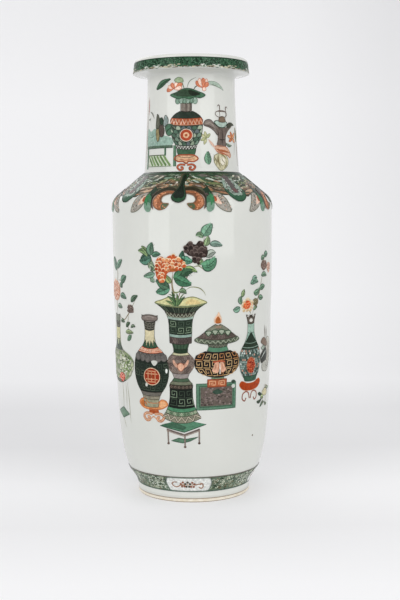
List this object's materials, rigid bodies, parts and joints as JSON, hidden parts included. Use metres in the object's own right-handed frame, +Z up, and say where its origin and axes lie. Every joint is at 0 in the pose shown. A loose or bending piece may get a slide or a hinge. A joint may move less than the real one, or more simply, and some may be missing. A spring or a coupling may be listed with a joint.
{
  "type": "rouleau vase",
  "caption": "Tall porcelain rouleau vase with a near-cylindrical body, sloping shoulder, straight neck, flanged dish mouth and painted enamel decoration.",
  "frame": {"origin": "centre of the foot ring's resting face", "axes": "+Z up along the vase's axis of revolution, front of the painted scene towards -Y"},
  "size_m": [0.1672, 0.1672, 0.45],
  "materials": {
    "porcelain": "unglazed biscuit porcelain",
    "slip": "fired luting slip",
    "glaze": "glossy white glaze with a green-grey cast",
    "enamel": "glossy overglaze enamel, mostly deep green"
  },
  "bodies": {
    "root": {"foot_ring": "porcelain", "base_disc": "porcelain", "lower_body": "porcelain", "upper_body": "porcelain", "shoulder": "porcelain", "neck": "porcelain", "mouth_rim": "porcelain", "base_slip": "slip", "foot_slip": "slip", "waist_slip": "slip", "shoulder_slip": "slip", "neck_slip": "slip", "mouth_slip": "slip", "outer_glaze": "glaze", "inner_glaze": "glaze", "base_glaze": "glaze", "rim_enamel": "enamel", "shoulder_enamel": "enamel", "foot_enamel": "enamel"}
  },
  "joints": []
}
